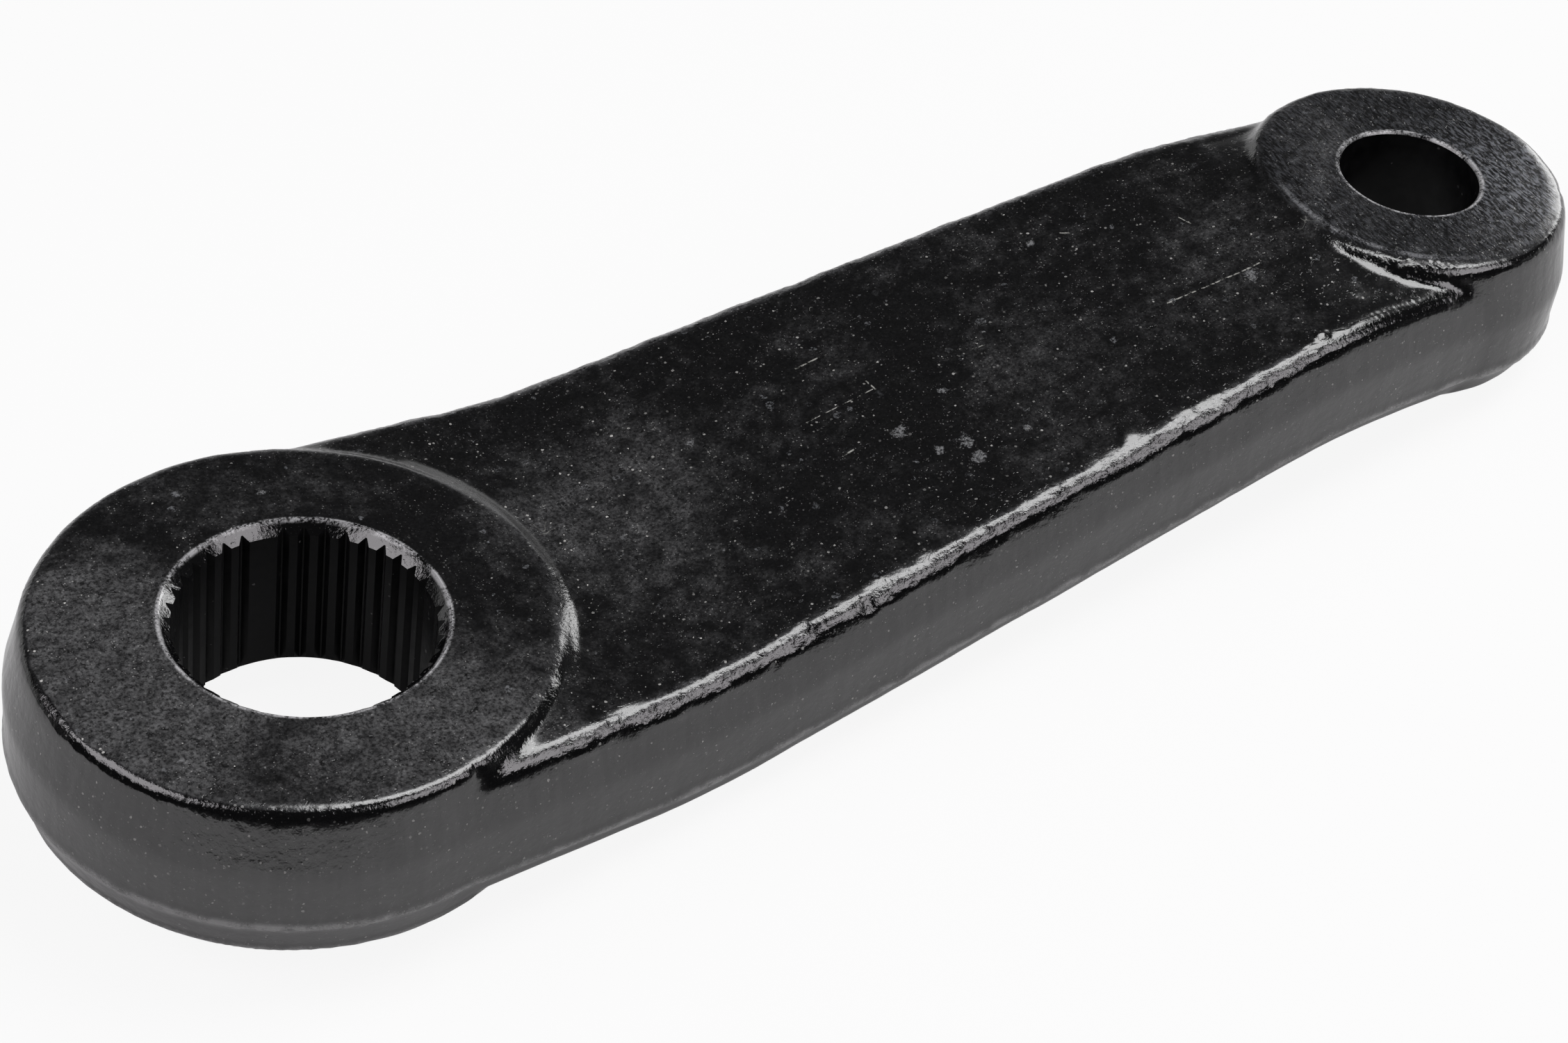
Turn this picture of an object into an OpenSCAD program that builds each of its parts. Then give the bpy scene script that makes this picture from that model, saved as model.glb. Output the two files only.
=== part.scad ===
// Cranked pitman arm: one drop forging with a serrated eye for the steering
// sector shaft and a tapered eye for the ball stud of the drag link.
// Millimetres. The origin is at the middle of the serrated bore. +X points to
// the ball stud eye, +Z along the bore.

/* [Arm] */
// Distance between the axes of the two holes
arm_length = 180; // [150:1:230]
// Height of the ball stud eye's top above the shaft eye's top
crank_offset = 21.5; // [10:0.5:28]
// Thickness of the arm next to the shaft eye
arm_t = 21.5; // [18:0.1:26]
// Thickness of the arm next to the ball stud eye
arm_t_stud = 20.6; // [18:0.1:24]
// Width across the top edges of the arm, at the shaft bore axis
arm_w_shaft = 69.3; // [64:0.1:69.4]
// Width across the top edges of the arm, at the ball stud axis
arm_w_stud = 46.4; // [40:0.1:48]
// Distance from the shaft bore axis to the bend where the arm starts to rise
rise_start = 43; // [40:1:55]
// Distance from the ball stud axis to the bend where the arm levels out
rise_end = 30; // [24:1:40]
// Radius of the two bends, seen from the side
bend_r = 100; // [60:5:120]

/* [Forged section] */
// How far the trimmed band stands out beyond the top edge
draft_out = 2.4; // [1:0.1:3]
// How far the trimmed band stands out beyond the bottom edge
draft_in = 2.5; // [1:0.1:3]
// Depth of the trimmed band's upper line below the arm's top
band_drop = 7.8; // [5:0.1:9]
// Height of the trimmed band round the edge, where the flash was sheared off
band_h = 8.6; // [5:0.1:9]
// Radius of the top edges of the arm
edge_r = 3.4; // [1:0.1:4]
// Radius of the bottom edges of the arm
bottom_edge_r = 1.2; // [0.5:0.1:2]
// Radius where the arm's sides run into the shaft eye
shaft_neck_r = 60; // [40:5:90]
// Radius where the arm's sides run into the ball stud eye
stud_neck_r = 14; // [10:1:30]

/* [Shaft eye] */
// Diameter across the top edge of the shaft eye
shaft_eye_d = 69.5; // [69.5:0.1:80]
// Height of the shaft eye's face above the arm's top
shaft_boss_top = 1.6; // [1:0.1:3]
// Height of the shaft eye's face below the arm's underside
shaft_boss_bottom = 2.3; // [1:0.1:3]
// Root diameter of the serrations
serration_d = 36; // [32:0.5:42]
// Depth of the serrations
serration_depth = 0.8; // [0.6:0.05:1.1]
// Share of the pitch that a groove takes at the tooth tips
groove_mouth_share = 0.58; // [0.4:0.02:0.7]
// Share of the pitch that a groove takes at its root
groove_root_share = 0.08; // [0.04:0.02:0.3]
// Number of places round the bore, grooves and blind teeth together
serration_n = 40; // [36:4:48]
// Number of blind teeth, where a groove is left out
blind_n = 4; // [1, 2, 4]
// Angle of the first blind tooth from the arm's axis
blind_angle = 83; // [0:1:90]
// Leg of the chamfer at each end of the bore, beyond the serration roots
bore_chamfer = 0.8; // [0.4:0.1:1.5]

/* [Ball stud eye] */
// Diameter across the top edge of the ball stud eye
stud_eye_d = 47.2; // [47:0.1:60]
// Height of the ball stud eye's face above the arm's top
stud_boss_top = 2.7; // [1:0.1:3.5]
// Height of the ball stud eye's face below the arm's underside
stud_boss_bottom = 0.9; // [0.5:0.1:3]
// Diameter of the tapered hole at the top, its small end
stud_hole_d = 21; // [17:0.5:24]
// Length over which the tapered hole widens by 1 mm in diameter
stud_taper_ratio = 8; // [6:1:12]
// Leg of the chamfer at each end of the tapered hole
stud_chamfer = 0.4; // [0.2:0.1:1]

/* [Eyes] */
// Radius of the top edges of both eyes
eye_edge_r = 2.1; // [0.8:0.1:3]
// Share of a boss's height that its foot climbs over the arm's top
foot_share = 0.8; // [0.4:0.05:0.9]
// Slope of the foot of the shaft eye's boss
shaft_foot_angle = 28; // [20:1:45]
// Slope of the foot of the ball stud eye's boss
stud_foot_angle = 15; // [13:1:45]
// How far the forged shaft eye sits back from the machined bore
shaft_setback = 1.5; // [0:0.1:2]
// How far the forged ball stud eye sits back from the machined hole
stud_setback = 0.2; // [0:0.1:2]

/* [Hidden] */
$fn = 96;
paint_black = "#1b1b1d";
// Overlap of a cut beyond the face that it leaves
cut = 1;
// Depth to which the foot of a boss reaches into the arm
foot_depth = 2;
// Steps of an arc in the loft, and of a rounded corner
bend_steps = 10;
neck_steps = 8;
edge_steps = 5;

shaft_eye_t = arm_t + shaft_boss_top + shaft_boss_bottom;
stud_eye_t = arm_t_stud + stud_boss_top + stud_boss_bottom;
// Heights over the shaft eye's underside
shaft_top_z = shaft_eye_t;
stud_top_z = shaft_top_z + crank_offset;
arm_low_z = shaft_top_z - shaft_boss_top;
arm_high_z = stud_top_z - stud_boss_top;
shaft_eye_x = -shaft_setback;
stud_eye_x = arm_length - stud_setback;

// Radius at the tips of the serrations, and outer radius of the bore's chamfers
tip_r = serration_d / 2 - serration_depth;
chamfer_r = serration_d / 2 + bore_chamfer;

// Side line of the arm in plan: half width at x
side_a = arm_w_shaft / 2;
side_m = (arm_w_shaft - arm_w_stud) / 2 / arm_length;
side_s = sqrt(1 + side_m * side_m);
function side_w(x) = side_a - side_m * x;

// Line of the arm in elevation: level at z0, arc, rise, arc, level at z1, with
// its bends at x0 and x1
function rise_angle(x0, z0, x1, z1) = atan((z1 - z0) / (x1 - x0));
function bend_half(angle) = bend_r * tan(angle / 2);
function bend_run(angle) = bend_half(angle) * (1 + cos(angle));
function arc_drop(dx) = bend_r - sqrt(bend_r * bend_r - dx * dx);
function rise_z(x, x0, z0, x1, z1) =
    let (angle = rise_angle(x0, z0, x1, z1),
         start = x0 - bend_half(angle),
         end = x1 + bend_half(angle))
    x <= start ? z0
    : x < start + bend_run(angle) ? z0 + arc_drop(x - start)
    : x <= end - bend_run(angle) ? z0 + tan(angle) * (x - x0)
    : x < end ? z1 - arc_drop(end - x)
    : z1;
rise_x0 = rise_start;
rise_x1 = arm_length - rise_end;
top_angle = rise_angle(rise_x0, arm_low_z, rise_x1, arm_high_z);
// The underside bends later than the top, by the thickness of the arm
under_shift = arm_t * tan(top_angle / 2);
function arm_top(x) = rise_z(x, rise_x0, arm_low_z, rise_x1, arm_high_z);
function arm_under(x) =
    rise_z(x, rise_x0 + under_shift, arm_low_z - arm_t, rise_x1 + under_shift, arm_high_z - arm_t_stud);

// Centre of the arc of radius r that blends the arm's side into an eye of
// radius eye_r at eye_x; side is 1 beyond the eye, -1 before it
function neck_centre(eye_x, eye_r, r, side) =
    let (b = side_a + r * side_s,
         d = eye_r + r,
         k = eye_x + b * side_m,
         x = (k + side * sqrt(k * k - side_s * side_s * (eye_x * eye_x + b * b - d * d)))
             / (side_s * side_s))
    [x, b - side_m * x];
shaft_neck = neck_centre(shaft_eye_x, shaft_eye_d / 2, shaft_neck_r, 1);
stud_neck = neck_centre(stud_eye_x, stud_eye_d / 2, stud_neck_r, -1);
// Where each blend touches its eye, and where it touches the straight side
function eye_touch(eye_x, eye_r, c, r) = eye_x + (c[0] - eye_x) * eye_r / (eye_r + r);
function side_touch(c, r) = c[0] - r * side_m / side_s;
shaft_touch = eye_touch(shaft_eye_x, shaft_eye_d / 2, shaft_neck, shaft_neck_r);
stud_touch = eye_touch(stud_eye_x, stud_eye_d / 2, stud_neck, stud_neck_r);
shaft_side = side_touch(shaft_neck, shaft_neck_r);
stud_side = side_touch(stud_neck, stud_neck_r);
function neck_w(x, c, r) = c[1] - sqrt(r * r - (x - c[0]) * (x - c[0]));
// Half width of the arm at its top edge
function arm_w(x) =
    x < shaft_touch ? side_w(x)
    : x < shaft_side ? neck_w(x, shaft_neck, shaft_neck_r)
    : x <= stud_side ? side_w(x)
    : x <= stud_touch ? neck_w(x, stud_neck, stud_neck_r)
    : side_w(x);

// Corner of radius r at p, rounded between the outward normals n0 and n1 (degrees)
function round_corner(p, r, n0, n1, steps) =
    let (mid = (n0 + n1) / 2,
         reach = r / cos((n1 - n0) / 2),
         c = p - reach * [cos(mid), sin(mid)])
    [for (i = [0:steps]) let (a = n0 + (n1 - n0) * i / steps) c + r * [cos(a), sin(a)]];

// Outer half of a drafted section from its top edge, at half width w, to its
// bottom edge
function drafted_edge(w, top, bottom, band_top, band_bottom, r_top, r_bottom) =
    let (upper = atan(draft_out / (top - band_top)),
         lower = atan(draft_in / (band_bottom - bottom)))
    concat(
        round_corner([w, top], r_top, 90, upper, edge_steps),
        [[w + draft_out, band_top], [w + draft_out, band_bottom]],
        round_corner([w + draft_out - draft_in, bottom], r_bottom, -lower, -90, edge_steps));

// Section of the arm at x, as a closed loop
function arm_section(x) =
    let (z = arm_top(x),
         band_top = z - band_drop,
         half = drafted_edge(arm_w(x), z, arm_under(x), band_top, band_top - band_h, edge_r, bottom_edge_r),
         n = len(half))
    concat(half, [for (i = [n - 1:-1:0]) [-half[i][0], half[i][1]]]);

function spread(a, b, n) = [for (i = [0:n]) a + (b - a) * i / n];
function sorted(v) =
    len(v) <= 1 ? v
    : let (pivot = v[floor(len(v) / 2)])
      concat(sorted([for (e = v) if (e < pivot) e]), [pivot], sorted([for (e = v) if (e > pivot) e]));
// Stations of the loft along the arm, close together in the bends and necks
bend_from = bend_half(top_angle);
bend_to = bend_run(top_angle) - bend_from + under_shift;
stations = sorted(concat(
    [shaft_eye_x, stud_eye_x],
    spread(shaft_touch, shaft_side, neck_steps),
    spread(rise_x0 - bend_from, rise_x0 + bend_to, bend_steps),
    spread(rise_x1 - bend_from, rise_x1 + bend_to, bend_steps),
    spread(stud_side, stud_touch, neck_steps)));

// Closed loft through rings of points that correspond one to one
module loft(rings) {
    n = len(rings[0]);
    last = len(rings) - 1;
    points = [for (ring = rings) each ring];
    walls = [for (i = [0:last - 1]) for (j = [0:n - 1])
        let (a = i * n + j, b = i * n + (j + 1) % n)
        each [[a, b, b + n], [a, b + n, a + n]]];
    caps = [[for (j = [n - 1:-1:0]) j], [for (j = [0:n - 1]) last * n + j]];
    polyhedron(points, concat(walls, caps), convexity = 4);
}

// The arm between the eyes, with draft, trimmed band, bends and necks
module arm_body() {
    loft([for (x = stations) [for (p = arm_section(x)) [x, p[0], p[1]]]]);
}

// A forged eye: a drafted disc with the trimmed band round it
module eye(d, t, boss_top, x, top_z) {
    band_top = t - boss_top - band_drop;
    edge = drafted_edge(d / 2, t, 0, band_top, band_top - band_h, eye_edge_r, bottom_edge_r);
    translate([x, 0, top_z - t])
        rotate_extrude()
            polygon(concat([[0, t]], edge, [[0, 0]]));
}

// The flat of the arm's top between its rounded edges, in plan
module arm_flat() {
    edge = [for (x = stations) [x, arm_w(x) - edge_r]];
    n = len(edge);
    polygon(concat(edge, [for (i = [n - 1:-1:0]) [edge[i][0], -edge[i][1]]]));
}

// The foot of a boss, a cone that fades out towards the arm's edges under a
// crown across the arm; side is 1 where the arm lies beyond the eye, -1 before it
module boss_foot(d, boss_top, x, top_z, angle, side) {
    rise = boss_top * foot_share;
    foot_z = top_z - boss_top + rise;
    h = rise + foot_depth;
    reach = d / 2 + h / tan(angle);
    flat_w = arm_w(x + side * d / 2) - edge_r;
    crown_r = (flat_w * flat_w + rise * rise) / (2 * rise);
    intersection() {
        translate([x, 0, foot_z - h])
            cylinder(h = h, r1 = reach, r2 = d / 2);
        translate([x, 0, foot_z - crown_r])
            rotate([0, side * 90, 0])
                cylinder(h = reach + cut, r = crown_r, $fn = 360);
        translate([0, 0, foot_z - h - cut])
            linear_extrude(h + 2 * cut)
                arm_flat();
    }
}

// One groove of the serrations, pointing along +X
module groove() {
    pitch = 2 * PI * tip_r / serration_n;
    mouth = pitch * groove_mouth_share;
    root = pitch * groove_root_share;
    polygon([
        [tip_r - cut, -mouth / 2],
        [tip_r, -mouth / 2],
        [serration_d / 2, -root / 2],
        [serration_d / 2, root / 2],
        [tip_r, mouth / 2],
        [tip_r - cut, mouth / 2]]);
}

// The serrated bore with its blind teeth and the chamfers at its ends
module shaft_bore() {
    leg = chamfer_r - tip_r;
    grooves_per_blind = serration_n / blind_n;
    translate([0, 0, -cut])
        linear_extrude(shaft_eye_t + 2 * cut)
            union() {
                circle(r = tip_r);
                for (i = [0:serration_n - 1])
                    if (i % grooves_per_blind != 0)
                        rotate(blind_angle + i * 360 / serration_n)
                            groove();
            }
    translate([0, 0, shaft_eye_t - leg])
        cylinder(h = leg + cut, r1 = tip_r, r2 = chamfer_r + cut);
    translate([0, 0, -cut])
        cylinder(h = leg + cut, r1 = chamfer_r + cut, r2 = tip_r);
}

// The tapered hole for the ball stud, small end up, with broken edges
module stud_hole() {
    small_r = stud_hole_d / 2;
    large_r = small_r + stud_eye_t / stud_taper_ratio / 2;
    low_z = stud_top_z - stud_eye_t;
    flare = cut / stud_taper_ratio / 2;
    translate([arm_length, 0, 0]) {
        translate([0, 0, low_z - cut])
            cylinder(h = stud_eye_t + 2 * cut, r1 = large_r + flare, r2 = small_r - flare);
        translate([0, 0, stud_top_z - stud_chamfer])
            cylinder(h = stud_chamfer + cut, r1 = small_r, r2 = small_r + stud_chamfer + cut);
        translate([0, 0, low_z - cut])
            cylinder(h = stud_chamfer + cut, r1 = large_r + stud_chamfer + cut, r2 = large_r);
    }
}

module pitman_arm() {
    color(paint_black)
        translate([0, 0, -shaft_eye_t / 2])
            difference() {
                union() {
                    arm_body();
                    eye(shaft_eye_d, shaft_eye_t, shaft_boss_top, shaft_eye_x, shaft_top_z);
                    eye(stud_eye_d, stud_eye_t, stud_boss_top, stud_eye_x, stud_top_z);
                    boss_foot(shaft_eye_d, shaft_boss_top, shaft_eye_x, shaft_top_z, shaft_foot_angle, 1);
                    boss_foot(stud_eye_d, stud_boss_top, stud_eye_x, stud_top_z, stud_foot_angle, -1);
                }
                shaft_bore();
                stud_hole();
            }
}

pitman_arm();
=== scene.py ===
"""A black-painted forged pitman arm, with the light and the camera of its picture."""

import math
from types import SimpleNamespace

import bmesh
import bpy
import numpy as np
from mathutils import Matrix, Vector, noise

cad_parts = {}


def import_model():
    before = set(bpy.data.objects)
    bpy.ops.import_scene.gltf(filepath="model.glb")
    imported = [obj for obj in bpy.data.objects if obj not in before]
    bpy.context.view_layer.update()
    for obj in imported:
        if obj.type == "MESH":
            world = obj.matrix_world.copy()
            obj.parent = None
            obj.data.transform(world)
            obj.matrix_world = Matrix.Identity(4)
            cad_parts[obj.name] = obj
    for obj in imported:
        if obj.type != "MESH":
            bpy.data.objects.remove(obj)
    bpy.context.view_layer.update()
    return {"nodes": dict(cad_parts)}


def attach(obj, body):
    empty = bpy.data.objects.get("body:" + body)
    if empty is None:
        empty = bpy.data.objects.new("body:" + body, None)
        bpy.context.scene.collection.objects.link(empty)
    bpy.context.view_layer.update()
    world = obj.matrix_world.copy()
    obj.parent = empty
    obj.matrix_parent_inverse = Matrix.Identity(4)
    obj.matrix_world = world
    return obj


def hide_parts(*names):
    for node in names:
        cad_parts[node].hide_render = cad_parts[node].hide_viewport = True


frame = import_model()
scene = bpy.context.scene
scene.view_settings.view_transform = "Standard"

MM = 0.001

# The machined holes, in millimetres, as the solid has them
STUD_X = 180.0
SHAFT_TOP, SHAFT_LOW = 12.7, -12.7
STUD_TOP, STUD_LOW = 34.2, 10.0
TIP_R, ROOT_R, BEVEL_R = 17.2, 18.0, 18.8
GROOVES, BLIND_EVERY, FIRST_BLIND = 40, 10, math.radians(83)
MOUTH, ROOT = 0.58, 0.08
TAPER_TOP_R, TAPER_LOW_R, STUD_BEVEL = 10.5, 12.0125, 0.4

# Plugs that close the holes for the remeshing: radii, and how far they stay below the faces
SHAFT_PLUG_R, STUD_PLUG_R, PLUG_IN = BEVEL_R + 0.6, 13.2, 0.02

# The cutters: how far they reach beyond a face, how far they stay clear of a wall, how much a bevel flares
# beyond its face, how uneven its edge is, and how many sides they have
CUT_OVER, BEVEL_OVER, BEVEL_IN = 1.0, 1.5, 0.05
SHAFT_CLEAR, STUD_CLEAR = 0.02, 0.03
SHAFT_FLARE, STUD_FLARE = 0.9, 1.2
SHAFT_RAGGED, STUD_RAGGED = 0.2, 0.1
SHAFT_SIDES, STUD_SIDES = 320, 200

# The remeshing, its softening, and the angle between faces above which an edge looks sharp
VOXEL, SOFTEN, SOFTEN_ROUNDS = 0.77, 0.5, 3
SHARP_ABOVE = math.radians(38)

# Outer edges of the bevels at the holes' tops: axis, radius
RIMS = [(0.0, BEVEL_R), (STUD_X, TAPER_TOP_R + STUD_BEVEL)]

# The ball stud eye's face: its brushed ground ends between two radii, and its rim has rubbed paint and a
# painted highlight at a third
STUD_FACE_IN, STUD_FACE_OUT, STUD_RIM_R = 21.5, 23.5, 21.2

# Radii of the sides next to the two eyes, which the side streaks follow
SHAFT_SIDE_R, STUD_SIDE_R = 36, 25

# The arm's slope: from x to x, its rise
RISE_FROM, RISE_TO, RISE = 43.0, 150.0, 21.5

# The way up of the arm's slope between the two bends
SLOPE = np.array((-0.197, 0, 0.98))

# Marks of the trimming tool along the near top edge next to the ball stud eye: from x to x, their pitch,
# the lengths over which they set in and fade, and the y that the edge stays below
BITE_FROM, BITE_TO, BITE_PITCH = 142.0, 173.0, 0.95
BITE_START, BITE_END, BITE_Y = 6, 3, -17

# Edges that get finer faces: how far they stand out in millimetres, and how far up their normals point
FINE_OUT, FINE_UP, BITE_UP, FINE_BELOW = 0.1, 0.15, 0.2, 0.99

# Where a place counts as edge, crease, side or top, each from none to full: how far it stands out of its
# surroundings in millimetres, and how far up its normal points
EDGE_OUT, EDGE_UP, EDGE_LEVEL = (0.05, 0.15), (0.3, 0.36), (0.992, 0.962)
CREASE_OUT, CREASE_UPPER, CREASE_LOWER = (0.1, 0.16), (0, -0.08), (-0.44, -0.36)
SIDE_UP, TOP_UP = (0.45, 0), (0.8, 0.95)

# The turned rims of the two eyes are evener than the arm's edges: radii from none to full, and how much
SHAFT_RIM, STUD_RIM, RIM_CALM = (41, 38), (27, 24), 0.55

# Layers of noise on the forging: height in millimetres, scale, octaves, seed
SKIN = [(0.16, 0.045, 2, 3.1), (0.05, 0.16, 2, 7.7)]
TOP_GRAIN = [(0.035, 0.55, 2, 1.3)]
SIDE_LINES = [(0.06, 0.5, 2, 5.5)]
EDGE_WAVES = [(0.36, 0.12, 2, 11.9), (0.13, 0.5, 3, 2.7), (0.08, 1.2, 2, 6.3)]
CREASE_LIFT, CREASE_WAVES = 0.22, [(0.08, 0.35, 2, 4.4)]
TOOTH_DRIFT, TOOTH_CHANGE = [(5, 0.25, 2, 9.1)], [(1.4, 0.22, 2, 3.9)]
TOOTH_HEIGHT, TOOTH_LEAN, TOOTH_SHARE, BITE_DEPTH = 0.32, 0.35, 0.5, 0.2

# How far the lines on the sides are drawn out, up and inward
LINE_Z, LINE_Y = 0.05, 0.03

# Chips, dents and bumps of the forging: centre, reach, depth
DENTS = [
    ((67.0, -30.6, 14.6), 1.7, 0.4),
    ((112.3, -23.5, 24.3), 2.2, -0.3),
    ((145.8, -22.7, 30.6), 1.8, -0.35),
    ((7.7, -33.6, 11.6), 1.6, 0.15),
    ((52.0, -31.5, 10.2), 1.3, 0.3),
    ((201.5, -12.5, 33.5), 2.4, 0.6),
    ((204.0, -4.0, 33.0), 1.8, 0.35),
]

# Flakes of pale dust on the top: centre, radius
FLAKES = [
    ((93.1, -13.0, 20.6), 2.6), ((89.4, -12.4, 19.9), 1.6), ((93.3, -16.4, 20.7), 2.0),
    ((87.0, -6.3, 19.5), 2.2), ((96.0, -2.8, 21.2), 1.3), ((145.0, -7.5, 30.4), 2.3),
    ((122.9, 15.9, 26.3), 1.1), ((101.6, -15.3, 22.3), 1.3), ((-25.0, -17.7, 12.7), 1.0),
    ((62.0, 8.0, 14.6), 1.1), ((107.0, 4.0, 23.2), 0.9), ((5.0, 24.0, 12.7), 1.0),
]

# Scratches and fibres on the top: from, to, half width
SCRATCHES = [
    ((131.8, -5.7), (147.3, -6.2), 0.16),
    ((77.3, 2.5), (88.2, 2.9), 0.11),
    ((88.3, 4.8), (88.6, 2.0), 0.14),
    ((81.5, 12.5), (85.4, 12.6), 0.17),
    ((103.6, 1.9), (106.3, 1.7), 0.16),
    ((143.8, 8.5), (145.0, 4.7), 0.1),
    ((127.6, 15.4), (128.8, 14.6), 0.13),
    ((78.0, -5.9), (79.8, -5.7), 0.18),
    ((-1.2, -26.4), (0.5, -25.9), 0.16),
]

# Dustier places on the top: centre, full within, none beyond, how much
DUSTY = [
    ((-30, -1, 12), 12, 32, 1.4), ((4, -27, 12), 8, 26, 1.0), ((47, 2, 12), 5, 26, 0.5),
    ((112, -10, 24), 0, 26, 0.35), ((150, 4, 31), 0, 16, 0.4), ((170, 8, 34), 2, 18, 0.5),
]

# A painted highlight that makes the brushed face paler towards its right, and the part of its rim with
# rubbed paint and a painted highlight: centre, full within, none beyond
PAINTED_LIGHT_ON_FACE = ((197, -9, 34), 3, 24)
RUBBED_AND_LIT_RIM = ((162, -10, 33), 7, 20)

# Colours of the paint and of what lies on it
BLACK = (0.0032, 0.0032, 0.0035, 1)
HAZE = (0.13, 0.131, 0.133, 1)
# Painted reflection: the paler streaks on the sides
SIDE_SHEEN = (0.2, 0.2, 0.2, 1)
BRUSHED = (0.17, 0.178, 0.195, 1)
POWDER = (0.3, 0.3, 0.295, 1)
DUST = (0.5, 0.495, 0.475, 1)
STRAY = (0.42, 0.415, 0.4, 1)
FLAKE = (0.2, 0.208, 0.22, 1)
CHALK = (0.22, 0.224, 0.23, 1)
SCRATCHED = (0.42, 0.42, 0.39, 1)
FIBRE = (0.3, 0.3, 0.28, 1)
RUBBED = (0.4, 0.405, 0.42, 1)
# A painted highlight along the trimmed band's crease
CREASE_HIGHLIGHT = (0.3, 0.3, 0.3, 1)
BURR = (0.45, 0.45, 0.46, 1)
# Rubbed paint with a painted highlight on the stud eye's rim
NICK_AND_HIGHLIGHT = (0.3, 0.305, 0.32, 1)
BORE_DARK, BORE_LIGHT = (0.0025, 0.0025, 0.003, 1), (0.006, 0.006, 0.0065, 1)
BORE_SPECK = (0.2, 0.2, 0.2, 1)
WHITE, CLOTH = (1, 1, 1, 1), (0.74, 0.74, 0.74, 1)

PAINT_IOR, BORE_IOR = 1.8, 1.25


def new_object(name, data):
    made = bpy.data.objects.new(name, data)
    scene.collection.objects.link(made)
    return made


def mesh_object(name, verts, faces):
    data = bpy.data.meshes.new(name)
    data.from_pydata([tuple(v) for v in verts], [], faces)
    data.update()
    return new_object(name, data)


def active(made):
    bpy.ops.object.select_all(action="DESELECT")
    made.select_set(True)
    bpy.context.view_layer.objects.active = made


def apply_modifier(made, modifier):
    active(made)
    bpy.ops.object.modifier_apply(modifier=modifier.name)


def lathe(name, x, rings, count=160):
    """A closed solid of rings, each (z, radius as a function of the angle), round an upright axis at x."""
    verts, faces = [], []
    for z, radius in rings:
        for i in range(count):
            a = 2 * math.pi * i / count
            r = radius(a)
            verts.append(Vector((x + r * math.cos(a), r * math.sin(a), z)) * MM)
    for k in range(len(rings) - 1):
        for i in range(count):
            j = (i + 1) % count
            faces.append((k * count + i, k * count + j, (k + 1) * count + j, (k + 1) * count + i))
    faces.append(tuple(range(count - 1, -1, -1)))
    last = (len(rings) - 1) * count
    faces.append(tuple(last + i for i in range(count)))
    return mesh_object(name, verts, faces)


def fbm(p, scale, octaves=3, seed=0.0):
    """Fractal noise of a point in millimetres, about -1 to 1."""
    q = Vector((p[0] * scale + seed, p[1] * scale - seed, p[2] * scale + 2 * seed))
    total, amplitude, reach = 0.0, 1.0, 0.0
    for _ in range(octaves):
        total += amplitude * noise.noise(q)
        reach += amplitude
        q = q * 2.03
        amplitude *= 0.5
    return total / reach


def waves(p, layers):
    """The sum of layers of noise at a point."""
    return sum(height * fbm(p, scale, octaves, seed) for height, scale, octaves, seed in layers)


def between(value, low, high):
    """0 at low, 1 at high, straight in between and level beyond."""
    return np.clip((value - low) / (high - low), 0, 1)


# The forging: the solid with its holes closed, remeshed finely and softened
blank = new_object("forged_arm", frame["nodes"]["pitman_arm"].data.copy())
plugs = [
    lathe("plug_a", 0, [(z, lambda a: SHAFT_PLUG_R) for z in (SHAFT_LOW + PLUG_IN, SHAFT_TOP - PLUG_IN)]),
    lathe("plug_b", STUD_X, [(z, lambda a: STUD_PLUG_R) for z in (STUD_LOW + PLUG_IN, STUD_TOP - PLUG_IN)]),
]
bpy.ops.object.select_all(action="DESELECT")
for made in [blank, *plugs]:
    made.select_set(True)
bpy.context.view_layer.objects.active = blank
bpy.ops.object.join()
blank.data.materials.clear()
remesh = blank.modifiers.new("remesh", "REMESH")
remesh.mode = "VOXEL"
remesh.voxel_size = VOXEL * MM
apply_modifier(blank, remesh)
soften = blank.modifiers.new("soften", "SMOOTH")
soften.factor = SOFTEN
soften.iterations = SOFTEN_ROUNDS
apply_modifier(blank, soften)


def numbers(data):
    """Places and normals of a mesh's vertices, places in millimetres."""
    count = len(data.vertices)
    co = np.empty(count * 3, np.float32)
    normal = np.empty(count * 3, np.float32)
    data.vertices.foreach_get("co", co)
    data.vertex_normals.foreach_get("vector", normal)
    return co.reshape(-1, 3).astype(float) / MM, normal.reshape(-1, 3).astype(float)


def bulge(data, co, normal, rounds):
    """How far each vertex stands out of its surroundings, in millimetres: less than 0 in hollows."""
    pairs = np.empty(len(data.edges) * 2, np.int32)
    data.edges.foreach_get("vertices", pairs)
    ends = np.concatenate([pairs[0::2], pairs[1::2]])
    others = np.concatenate([pairs[1::2], pairs[0::2]])
    degree = np.bincount(ends, minlength=len(co))
    mean = co.copy()
    for _ in range(rounds):
        mean = np.stack([np.bincount(ends, mean[others, k], len(co)) / degree for k in range(3)], axis=1)
    return ((co - mean) * normal).sum(1)


def refine(data, wanted):
    """Halve the edges between the vertices that are wanted."""
    work = bmesh.new()
    work.from_mesh(data)
    picked = [e for e in work.edges if wanted[e.verts[0].index] and wanted[e.verts[1].index]]
    bmesh.ops.subdivide_edges(work, edges=picked, cuts=1, use_grid_fill=True)
    bmesh.ops.triangulate(work, faces=[f for f in work.faces if len(f.verts) > 4])
    work.to_mesh(data)
    work.free()


# Finer faces along the top edges, where the light shows every unevenness, and finest where the tool bit
co, normal = numbers(blank.data)
out, up = bulge(blank.data, co, normal, 6), normal[:, 2]
refine(blank.data, (out > FINE_OUT) & (up > FINE_UP) & (up < FINE_BELOW))
co, normal = numbers(blank.data)
(x, y, _), up = co.T, normal[:, 2]
bitten = (x > BITE_FROM) & (x < BITE_TO) & (y < BITE_Y)
refine(blank.data, bitten & (up > BITE_UP) & (up < FINE_BELOW))

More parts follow.
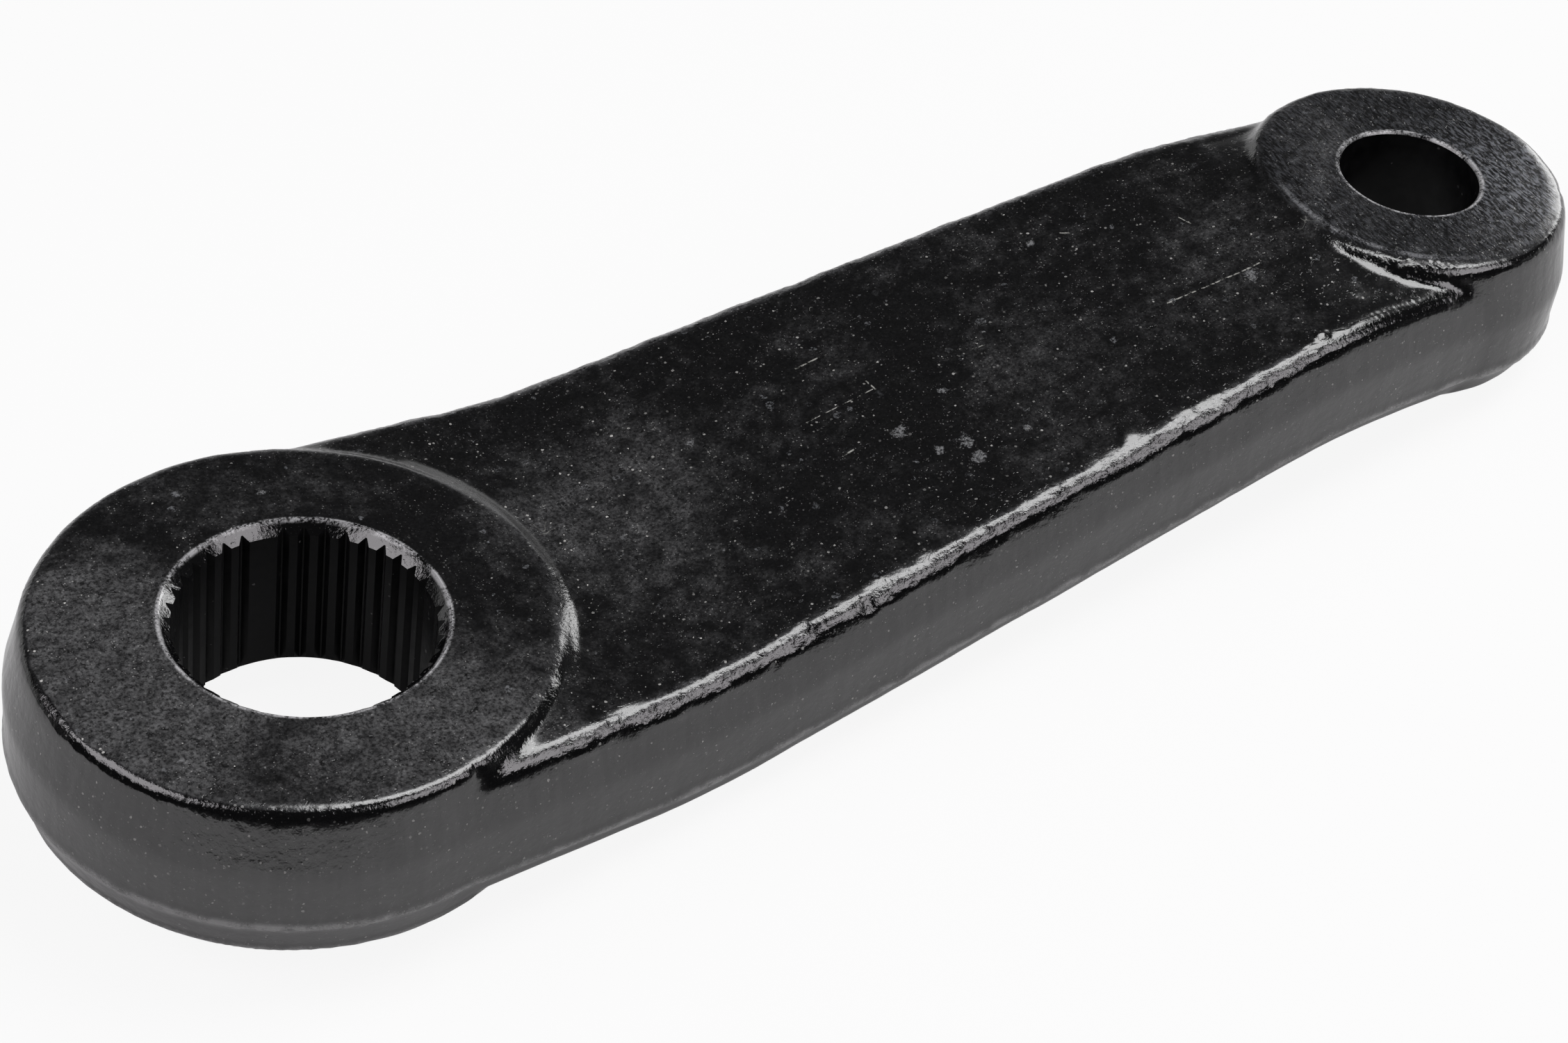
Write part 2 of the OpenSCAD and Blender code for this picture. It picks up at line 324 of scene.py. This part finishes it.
# Unevenness of the forging, by how far a place stands out and which way it faces
co, normal = numbers(blank.data)
out = bulge(blank.data, co, normal, 24)
near_out = bulge(blank.data, co, normal, 12)
up = normal[:, 2]
level = np.maximum(up, normal @ SLOPE)
edge = between(out, *EDGE_OUT) * between(up, *EDGE_UP) * between(level, *EDGE_LEVEL)
crease = between(near_out, *CREASE_OUT) * between(up, *CREASE_UPPER) * between(up, *CREASE_LOWER)
side = between(np.abs(up), *SIDE_UP)
top = between(up, *TOP_UP)
x, y, z = co.T
angle_a = np.arctan2(-x, np.abs(y))
angle_b = np.arctan2(x - STUD_X, np.abs(y))
along = np.where(x < 0, -SHAFT_SIDE_R * angle_a, np.where(x > STUD_X, STUD_X + STUD_SIDE_R * angle_b, x))
bite = between(x, BITE_FROM, BITE_FROM + BITE_START) * between(x, BITE_TO, BITE_TO - BITE_END)
bite *= (y < BITE_Y) * edge
rim = np.maximum(between(np.hypot(x, y), *SHAFT_RIM), between(np.hypot(x - STUD_X, y), *STUD_RIM))
edge *= 1 - RIM_CALM * rim * (1 - np.clip(bite * 2, 0, 1))
move = np.zeros(len(co))
for i, p in enumerate(co):
    move[i] = waves(p, SKIN) + waves(p, TOP_GRAIN) * (0.3 + 0.7 * top[i])
    if side[i] > 0:
        move[i] += side[i] * waves((along[i], z[i] * LINE_Z, y[i] * LINE_Y), SIDE_LINES)
    if edge[i] > 0:
        move[i] += edge[i] * waves(p, EDGE_WAVES)
    if crease[i] > 0:
        move[i] += crease[i] * (CREASE_LIFT + waves(p, CREASE_WAVES))
    if bite[i] > 0:
        turn = 2 * math.pi * (x[i] + TOOTH_LEAN * y[i]) / BITE_PITCH
        tooth = TOOTH_HEIGHT * math.sin(turn + waves(p, TOOTH_DRIFT))
        move[i] += bite[i] * (tooth * max(0, TOOTH_SHARE + waves(p, TOOTH_CHANGE)) - BITE_DEPTH)
for centre, reach, depth in DENTS:
    far = np.linalg.norm(co - np.array(centre), axis=1)
    move -= depth * np.clip(1 - (far / reach) ** 2, 0, 1) ** 2
co += normal * move[:, None]
blank.data.vertices.foreach_set("co", (co * MM).astype(np.float32).ravel())
for name, values in (("along", along), ("edge", edge), ("crease", crease), ("bite", bite)):
    attribute = blank.data.attributes.new(name, "FLOAT", "POINT")
    attribute.data.foreach_set("value", values.astype(np.float32))
blank.data.update()


# The machined holes
def bore_cutter():
    """The serrated bore: grooves with a few points each, through the whole eye."""
    pitch = 2 * math.pi / GROOVES
    outline = []
    for i in range(GROOVES):
        a = FIRST_BLIND + i * pitch
        if i % BLIND_EVERY:
            for share, r in ((-MOUTH, TIP_R), (-ROOT, ROOT_R), (ROOT, ROOT_R), (MOUTH, TIP_R)):
                outline.append((a + share * pitch / 2, r))
            outline.append((a + pitch / 2, TIP_R))
        else:
            for share in (-0.5, -0.25, 0, 0.25, 0.5):
                outline.append((a + share * pitch, TIP_R))
    count = len(outline)
    verts = []
    for z in (SHAFT_LOW - CUT_OVER, SHAFT_TOP + CUT_OVER):
        for a, r in outline:
            verts.append(Vector((r * math.cos(a), r * math.sin(a), z)) * MM)
    faces = [(i, (i + 1) % count, count + (i + 1) % count, count + i) for i in range(count)]
    faces += [tuple(range(count - 1, -1, -1)), tuple(range(count, 2 * count))]
    return mesh_object("cut_bore", verts, faces)


def ragged(r, size, seed):
    """An uneven radius, as a function of the angle."""
    return lambda a: r + size * fbm((10 * math.cos(a), 10 * math.sin(a), seed), 0.35, 3, seed)


leg = BEVEL_R - TIP_R
cutters = [
    bore_cutter(),
    lathe("cut_bevel_top", 0, [
        (SHAFT_TOP - leg, lambda a: TIP_R - SHAFT_CLEAR),
        (SHAFT_TOP - BEVEL_IN, ragged(BEVEL_R, SHAFT_RAGGED, 2.0)),
        (SHAFT_TOP + BEVEL_OVER, ragged(BEVEL_R + SHAFT_FLARE, SHAFT_RAGGED, 2.0)),
    ], SHAFT_SIDES),
    lathe("cut_bevel_low", 0, [
        (SHAFT_LOW - BEVEL_OVER, ragged(BEVEL_R + SHAFT_FLARE, SHAFT_RAGGED, 4.0)),
        (SHAFT_LOW + BEVEL_IN, ragged(BEVEL_R, SHAFT_RAGGED, 4.0)),
        (SHAFT_LOW + leg, lambda a: TIP_R - SHAFT_CLEAR),
    ], SHAFT_SIDES),
    lathe("cut_taper", STUD_X, [
        (STUD_LOW - BEVEL_OVER, ragged(TAPER_LOW_R + STUD_BEVEL + STUD_FLARE, STUD_RAGGED, 6.0)),
        (STUD_LOW + STUD_BEVEL, lambda a: TAPER_LOW_R - STUD_CLEAR),
        (STUD_TOP - STUD_BEVEL, lambda a: TAPER_TOP_R + STUD_CLEAR),
        (STUD_TOP + BEVEL_OVER, ragged(TAPER_TOP_R + STUD_BEVEL + STUD_FLARE, STUD_RAGGED, 8.0)),
    ], STUD_SIDES),
]
for cutter in cutters:
    cut = blank.modifiers.new("cut", "BOOLEAN")
    cut.operation = "DIFFERENCE"
    cut.solver = "MANIFOLD"
    cut.object = cutter
    apply_modifier(blank, cut)
    bpy.data.objects.remove(cutter)
active(blank)
bpy.ops.object.shade_smooth_by_angle(angle=SHARP_ABOVE)


# Paint
class Tree:
    """Short forms for making nodes and links in one node tree."""

    def __init__(self, tree):
        self.tree = tree
        tree.nodes.clear()

    def node(self, kind, **settings):
        made = self.tree.nodes.new(kind)
        inputs = settings.pop("inputs", {})
        for name, value in settings.items():
            setattr(made, name, value)
        for name, value in inputs.items():
            self.set(made.inputs[name], value)
        return made

    def set(self, socket, value):
        if isinstance(value, bpy.types.NodeSocket):
            self.tree.links.new(value, socket)
        else:
            socket.default_value = value

    def math(self, operation, a, b=0.5, clamp=False):
        made = self.node("ShaderNodeMath", operation=operation, use_clamp=clamp)
        self.set(made.inputs[0], a)
        self.set(made.inputs[1], b)
        return made.outputs[0]

    def chain(self, operation, first, *others):
        for other in others:
            first = self.math(operation, first, other)
        return first

    def times(self, *values):
        return self.chain("MULTIPLY", *values)

    def total(self, *values):
        return self.chain("ADD", *values)

    def most(self, *values):
        return self.chain("MAXIMUM", *values)

    def weigh(self, *pairs, base=None):
        """The sum of values, each times its weight, and of a base."""
        parts = [self.times(value, weight) for value, weight in pairs]
        return self.total(*parts) if base is None else self.total(*parts, base)

    def vector(self, operation, *values, **named):
        """A vector operation's node: its inputs in order, and any with a name."""
        inputs = {**dict(enumerate(values)), **named}
        return self.node("ShaderNodeVectorMath", operation=operation, inputs=inputs)

    def distance(self, a, b):
        return self.vector("DISTANCE", a, b).outputs["Value"]

    def join(self, x, y, z=0.0):
        return self.node("ShaderNodeCombineXYZ", inputs={"X": x, "Y": y, "Z": z}).outputs[0]

    def part(self, vector, axis):
        return self.node("ShaderNodeSeparateXYZ", inputs={"Vector": vector}).outputs[axis]

    def ramp(self, value, low, high, to_low=0.0, to_high=1.0):
        return self.node(
            "ShaderNodeMapRange", interpolation_type="SMOOTHSTEP",
            inputs={"Value": value, "From Min": low, "From Max": high, "To Min": to_low, "To Max": to_high},
        ).outputs[0]

    def noise(self, vector, scale, detail=3.0, rough=0.5):
        return self.node(
            "ShaderNodeTexNoise",
            inputs={"Vector": vector, "Scale": scale, "Detail": detail, "Roughness": rough},
        ).outputs["Fac"]

    def mix(self, share, a, b):
        made = self.node("ShaderNodeMix", data_type="RGBA")
        self.set(made.inputs["Factor"], share)
        self.set(made.inputs[6], a)
        self.set(made.inputs[7], b)
        return made.outputs[2]


def new_tree(owner):
    owner.use_nodes = True
    return Tree(owner.node_tree)


def millimetres(t):
    """The place on the object, in millimetres."""
    return t.vector("SCALE", t.node("ShaderNodeTexCoord").outputs["Object"], Scale=1 / MM).outputs[0]


def near(t, place, centre, inner, outer):
    """1 within inner millimetres of a place, 0 beyond outer."""
    return t.ramp(t.distance(place, centre), outer, inner)


def off_ring(t, flat, x, radius):
    """How far a place lies off a ring in plan, in millimetres."""
    return t.math("ABSOLUTE", t.math("SUBTRACT", t.distance(flat, (x, 0, 0)), radius))


def specks(t, place, scale, share, size):
    """Flecks of many sizes: (1 inside a fleck, the fleck's own random number)."""
    wander = t.node("ShaderNodeTexNoise", inputs={"Vector": place, "Scale": scale * 1.7, "Detail": 2.0})
    bent = t.vector("MULTIPLY_ADD", wander.outputs["Color"], (0.4 / scale,) * 3, place)
    cells = t.node("ShaderNodeTexVoronoi", inputs={"Vector": bent.outputs[0], "Scale": scale})
    luck = t.node("ShaderNodeSeparateColor", inputs={"Color": cells.outputs["Color"]})
    inside = t.math("LESS_THAN", cells.outputs["Distance"], t.times(luck.outputs[1], size))
    picked = t.math("GREATER_THAN", luck.outputs[0], 1 - share)
    return t.times(inside, picked), luck.outputs[2]


def scratch(t, flat, start, end, half):
    """1 along a line between two places in plan, 0 beyond its half width."""
    run = Vector((*end, 0)) - Vector((*start, 0))
    gone = t.vector("SUBTRACT", flat, (*start, 0)).outputs[0]
    share = t.vector("DOT_PRODUCT", gone, run / run.length_squared).outputs["Value"]
    held = t.math("MULTIPLY", share, 1.0, clamp=True)
    foot = t.vector("SCALE", run, Scale=held).outputs[0]
    return t.ramp(t.distance(gone, foot), half, half * 0.4)


def surface(t):
    """What the paint depends on: the place, which way it faces, and noises of several sizes."""
    s = SimpleNamespace()
    s.place = millimetres(t)
    s.x, s.y, s.z = (t.part(s.place, axis) for axis in "XYZ")
    s.flat = t.join(s.x, s.y)
    s.up = t.part(t.node("ShaderNodeNewGeometry").outputs["Normal"], "Z")
    for name in ("along", "edge", "crease", "bite"):
        setattr(s, name, t.node("ShaderNodeAttribute", attribute_name=name).outputs["Fac"])
    s.top = t.ramp(s.up, 0.9, 0.97)
    s.side = t.ramp(t.math("ABSOLUTE", s.up), 0.5, 0.25)
    s.slope = t.times(t.ramp(s.up, 0.96, 0.9), t.ramp(s.up, 0.5, 0.7))
    s.at_stud = t.times(
        near(t, s.place, (STUD_X, 0, STUD_TOP), STUD_FACE_IN, STUD_FACE_OUT), t.ramp(s.up, 0.97, 0.99))

    s.patch = t.noise(s.place, 0.3, 4, 0.65)
    s.grain = t.noise(s.place, 2.6, 4, 0.7)
    s.fine = t.noise(s.place, 5.5, 2, 0.6)
    s.mottle = t.noise(s.place, 2.1, 4, 0.74)
    s.cloud = t.noise(s.place, 0.42, 4, 0.62)
    s.peel = t.noise(s.place, 0.8, 3, 0.55)
    s.lump = t.noise(s.place, 1.7, 3, 0.6)
    s.pits = t.ramp(t.noise(s.place, 0.9, 3, 0.6), 0.4, 0.3)
    s.streak = t.noise(t.join(s.along, t.times(s.z, 0.06), t.times(s.y, 0.03)), 0.9, 4, 0.65)
    s.brush = t.noise(t.join(t.times(s.x, 2.3), t.times(s.y, 0.6)), 1.0, 4, 0.65)
    lift = t.node("ShaderNodeMapRange", inputs={
        "Value": s.x, "From Min": RISE_FROM, "From Max": RISE_TO, "To Min": 0.0, "To Max": RISE,
    }).outputs[0]
    raised = t.math("SUBTRACT", s.z, lift)
    s.drip = t.noise(t.join(t.times(s.along, 0.03), t.times(raised, 0.5)), 1.0, 3, 0.5)

    # Dull, dusty ground: more of it by the eyes than along the middle of the arm
    broad = t.noise(s.place, 0.06, 3, 0.55)
    dusty = t.most(*(t.times(near(t, s.place, *where), much) for *where, much in DUSTY))
    s.dull = t.times(t.ramp(t.weigh((dusty, 0.34), (broad, 0.5), (s.patch, 0.6)), 0.5, 0.98), s.top)
    s.many = t.weigh((s.dull, 0.7), (s.top, 0.2), base=0.5)
    return s


def ground(t, s):
    """Black paint, hazy on the top, with painted reflections as paler streaks on the sides, and the ball
    stud eye's brushed face with painted light towards its right.
    """
    haze = t.times(t.ramp(s.mottle, 0.3, 0.76, 0.06, 1.0), t.ramp(s.cloud, 0.32, 0.66, 0.55, 1.25))
    haze = t.times(haze, t.weigh((s.dull, 0.95), (s.top, 0.05)))
    haze = t.times(haze, t.math("SUBTRACT", 1.0, t.times(s.pits, 0.8)))
    colour = t.mix(haze, BLACK, HAZE)
    # Painted reflection: paler streaks along the sides
    side_sheen = t.ramp(t.weigh((s.mottle, 0.3), (s.cloud, 0.25), (s.streak, 0.45)), 0.4, 0.62)
    colour = t.mix(t.times(s.side, side_sheen, 0.08), colour, SIDE_SHEEN)
    # Fine lines across the face, made paler to the right by painted light
    brushed_and_lit = t.weigh((near(t, s.place, *PAINTED_LIGHT_ON_FACE), 0.75), base=0.2)
    return t.mix(t.times(s.at_stud, t.ramp(s.brush, 0.44, 0.62), brushed_and_lit), colour, BRUSHED)


def dust(t, s, colour):
    """Specks of dust, flakes, scratches and fibres: (colour, where the specks stand out)."""
    powder, luck = specks(t, s.place, 2.9, 0.55, 0.36)
    powder = t.times(t.times(powder, luck), t.times(s.many, t.ramp(s.patch, 0.35, 0.65)))
    colour = t.mix(t.times(powder, 0.75), colour, POWDER)
    small, luck = specks(t, s.place, 1.5, 0.35, 0.32)
    dusted = t.times(small, t.math("POWER", luck, 3.0), s.many)
    colour = t.mix(dusted, colour, DUST)
    stray, luck = specks(t, s.place, 2.1, 0.14, 0.36)
    stray = t.times(stray, t.math("POWER", luck, 1.5), t.weigh((s.side, 0.35), base=0.1))
    colour = t.mix(stray, colour, STRAY)
    large, luck = specks(t, s.place, 0.45, 0.3, 0.34)
    flake = t.times(t.times(large, luck), t.times(s.top, t.ramp(s.mottle, 0.46, 0.62)))
    colour = t.mix(t.times(flake, 0.7), colour, FLAKE)

    chalk = t.most(*(near(t, s.place, centre, 0, radius) for centre, radius in FLAKES))
    chalk = t.ramp(t.weigh((chalk, 0.45), base=t.weigh((s.mottle, 0.7), (s.peel, 0.8))), 0.94, 1.1)
    colour = t.mix(t.times(chalk, t.ramp(s.grain, 0.38, 0.6), 0.9), colour, CHALK)
    marks = t.most(*(scratch(t, s.flat, *line) for line in SCRATCHES))
    marks = t.times(marks, s.top, t.ramp(t.noise(s.place, 1.2, 3, 0.6), 0.44, 0.58))
    colour = t.mix(t.times(marks, 0.85), colour, SCRATCHED)
    # Fibres: short stretches of the level lines of a noise
    level = t.math("ABSOLUTE", t.math("SUBTRACT", t.noise(s.place, 0.22, 1, 0.4), 0.5))
    stretch, _ = specks(t, s.place, 0.1, 0.22, 0.4)
    fibre = t.times(t.math("LESS_THAN", level, 0.0024), t.times(stretch, s.top))
    return t.mix(t.times(fibre, 0.4), colour, FIBRE), dusted


def wear(t, s, colour):
    """Rubbed paint on the top edges and the rims, a painted highlight along the trimmed band's crease, and
    rubbed paint with a painted highlight on the stud eye's rim: (colour, where edges are rubbed).
    """
    worn = t.ramp(t.total(s.grain, t.times(s.patch, 0.6)), 0.62, 0.95)
    rub = t.times(s.edge, t.ramp(s.up, 0.8, 0.92), worn)
    colour = t.mix(t.times(rub, 0.2), colour, RUBBED)
    gaps = t.ramp(t.total(s.patch, t.times(s.fine, 0.4)), 0.5, 0.85)
    # Painted highlight: a pale line along the crease of the trimmed band, broken by gaps
    line = t.times(t.math("POWER", s.crease, 2.5), gaps)
    colour = t.mix(t.times(line, 0.6), colour, CREASE_HIGHLIGHT)
    broken = t.total(s.grain, s.patch)
    for rim in RIMS:
        burr = t.times(t.ramp(off_ring(t, s.flat, *rim), 0.5, 0.1), t.ramp(broken, 0.84, 1.12))
        colour = t.mix(t.times(burr, t.ramp(s.up, 0.3, 0.5)), colour, BURR)
    # Rubbed paint and a painted highlight on the near left of the ball stud eye's rim
    ring = t.ramp(off_ring(t, s.flat, STUD_X, STUD_RIM_R), 0.75, 0.1)
    nick_and_highlight = t.times(ring, near(t, s.place, *RUBBED_AND_LIT_RIM), t.ramp(broken, 0.85, 1.2))
    return t.mix(t.times(nick_and_highlight, 0.7), colour, NICK_AND_HIGHLIGHT), rub


def paint():
    """Glossy black paint, uneven and dusty."""
    material = bpy.data.materials.new("black_paint")
    t = new_tree(material)
    s = surface(t)
    colour, dusted = dust(t, s, ground(t, s))
    colour, rub = wear(t, s, colour)
    rough = t.weigh((s.top, 0.06), (s.patch, 0.06), base=0.05)
    rough = t.total(rough, t.weigh((dusted, 0.3), (rub, 0.06), (s.bite, 0.4)))
    uneven = t.weigh((s.edge, 0.04), (s.slope, 0.05))
    # Heights in millimetres
    height = t.total(
        t.times(s.peel, t.total(uneven, t.weigh((s.side, 0.07), base=0.006))),
        t.times(s.lump, uneven),
        t.times(s.grain, t.weigh((s.top, 0.01), (s.edge, 0.004), base=0.003)),
        t.times(s.streak, s.side, 0.01),
        t.times(s.drip, s.side, 0.02),
        t.times(s.brush, s.at_stud, 0.03),
        t.times(s.pits, s.top, -0.02),
        t.times(dusted, 0.04),
    )
    bump = t.node("ShaderNodeBump", inputs={"Strength": 1.0, "Distance": MM, "Height": height})
    shader = t.node("ShaderNodeBsdfPrincipled", inputs={
        "Base Color": colour, "Roughness": rough, "IOR": PAINT_IOR, "Normal": bump.outputs["Normal"]})
    t.node("ShaderNodeOutputMaterial", inputs={"Surface": shader.outputs[0]})
    return material


def bore_black():
    """The machined walls of the holes, matt and black."""
    material = bpy.data.materials.new("bore_black")
    t = new_tree(material)
    place = millimetres(t)
    patch = t.noise(place, 0.5, 3, 0.6)
    small, luck = specks(t, place, 0.8, 0.25, 0.2)
    colour = t.mix(t.ramp(patch, 0.35, 0.7), BORE_DARK, BORE_LIGHT)
    colour = t.mix(t.times(small, t.times(luck, 0.5)), colour, BORE_SPECK)
    shader = t.node("ShaderNodeBsdfPrincipled", inputs={
        "Base Color": colour, "Roughness": t.ramp(patch, 0.3, 0.7, 0.28, 0.45), "IOR": BORE_IOR})
    t.node("ShaderNodeOutputMaterial", inputs={"Surface": shader.outputs[0]})
    return material


blank.data.materials.clear()
blank.data.materials.append(paint())
blank.data.materials.append(bore_black())
# A face belongs to a hole's wall within this much of the hole's radius, and if it is steep
WALL_OVER, WALL_UP = 0.05, 0.5
for face in blank.data.polygons:
    fx, fy, _ = face.center / MM
    in_bore = math.hypot(fx, fy) < ROOT_R + WALL_OVER
    in_taper = math.hypot(fx - STUD_X, fy) < TAPER_LOW_R + WALL_OVER
    face.material_index = int((in_bore or in_taper) and abs(face.normal.z) < WALL_UP)
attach(blank, "root")
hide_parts("pitman_arm")


# Studio: the arm lies on a table, on its shaft eye's near edge and its stud eye's far edge
TILT = math.atan2(22.7, 168.3)
TABLE_HALF, TABLE_X, TABLE_GAP = 4.0, 33.0, 0.25

# How much of the table's own glow is seen directly, in the paint, and in the paint towards the front, where
# it is dark from y to y, in metres
GLOW_SEEN, GLOW_MIRRORED, GLOW_FRONT = 0.9, 0.12, 0.96
DARK_FROM, DARK_TO, DARKNESS = -0.06, -0.22, 0.98

# What the softboxes point at, in metres, and a tint
AIM = Vector((0.085, 0, 0.01))
LILAC = (1.0, 0.965, 1.0)

# The light strip behind the arm: the way to it in plan, and its brightness over the room's
BEHIND_X, BEHIND_Y, STRIP, ROOM = 0.605, 0.796, 0.6, 0.015


def rest_floor():
    """A pale table under the tipped arm, which keeps the arm's shadow."""
    half = TABLE_HALF
    corners = [(-half, -half, 0), (half, -half, 0), (half, half, 0), (-half, half, 0)]
    made = mesh_object("table", corners, [(0, 1, 2, 3)])
    under = Vector((TABLE_X, 0, SHAFT_LOW - TABLE_GAP)) * MM
    made.matrix_world = Matrix.Translation(under) @ Matrix.Rotation(-TILT, 4, "Y")
    material = bpy.data.materials.new("table_white")
    t = new_tree(material)
    seen = t.node("ShaderNodeLightPath")
    mirrored = t.most(seen.outputs["Is Glossy Ray"], seen.outputs["Is Transmission Ray"])
    front = t.ramp(t.part(t.node("ShaderNodeTexCoord").outputs["Object"], "Y"), DARK_FROM, DARK_TO)
    dark = t.times(mirrored, front)
    direct = t.weigh(
        (seen.outputs["Is Camera Ray"], GLOW_SEEN),
        (t.math("SUBTRACT", mirrored, dark), GLOW_MIRRORED),
        (dark, GLOW_FRONT),
    )
    bright = t.math("SUBTRACT", 1.0, t.times(dark, DARKNESS))
    glow = t.node("ShaderNodeEmission", inputs={"Color": WHITE, "Strength": bright})
    cloth = t.node("ShaderNodeBsdfDiffuse", inputs={"Color": CLOTH})
    both = t.node("ShaderNodeMixShader", inputs={"Fac": direct, 1: cloth.outputs[0], 2: glow.outputs[0]})
    t.node("ShaderNodeOutputMaterial", inputs={"Surface": both.outputs[0]})
    made.data.materials.append(material)


def softbox(name, direction, distance, width, height, radiance, tint=(1, 1, 1)):
    """An area light of an even radiance, in metres."""
    way = Vector(direction).normalized()
    data = bpy.data.lights.new(name, "AREA")
    data.shape = "RECTANGLE"
    data.size, data.size_y = width, height
    data.energy = radiance * math.pi * width * height
    data.color = tint
    turn = way.to_track_quat("Z", "Y").to_matrix().to_4x4()
    new_object(name, data).matrix_world = Matrix.Translation(AIM + way * distance) @ turn


def world():
    """A dim room with a light strip low behind the arm. The camera sees it white."""
    made = bpy.data.worlds.new("studio")
    scene.world = made
    t = new_tree(made)
    way = t.node("ShaderNodeTexCoord").outputs["Generated"]
    behind = t.ramp(t.weigh((t.part(way, "X"), BEHIND_X), (t.part(way, "Y"), BEHIND_Y)), -0.25, 0.45)
    low = t.ramp(t.part(way, "Z"), 0.1, 0.32, 1.0, 0.02)
    light = t.total(t.times(behind, low, STRIP), ROOM)
    seen = t.node("ShaderNodeLightPath").outputs["Is Camera Ray"]
    shown = t.total(t.times(light, t.math("SUBTRACT", 1.0, seen)), seen)
    back = t.node("ShaderNodeBackground", inputs={"Color": WHITE, "Strength": shown})
    t.node("ShaderNodeOutputWorld", inputs={"Surface": back.outputs[0]})


rest_floor()
world()
# Direction, distance, width, height, radiance, tint
softbox("softbox_top", (0.31, -0.06, 0.945), 0.95, 0.51, 0.62, 5.6)
softbox("softbox_right", (0.345, -0.711, 0.611), 0.95, 0.58, 0.43, 2.9, LILAC)
softbox("softbox_left", (-0.75, 0.1, 0.62), 0.95, 0.85, 0.5, 3.0, LILAC)
softbox("softbox_back", (0.911, 0.314, 0.267), 1.2, 0.5, 0.57, 4.2)

# The camera, as fitted to the picture
lens = bpy.data.cameras.new("camera")
lens.sensor_width = 36.0
lens.lens = 78.22
lens.clip_start, lens.clip_end = 0.01, 20.0
camera = new_object("camera", lens)
camera.matrix_world = Matrix((
    (0.84663672, 0.26546745, -0.46123021, -0.14695),
    (-0.51909586, 0.60289917, -0.60584823, -0.29048),
    (0.11724233, 0.75235605, 0.64823963, 0.31324),
    (0, 0, 0, 1),
))
scene.camera = camera
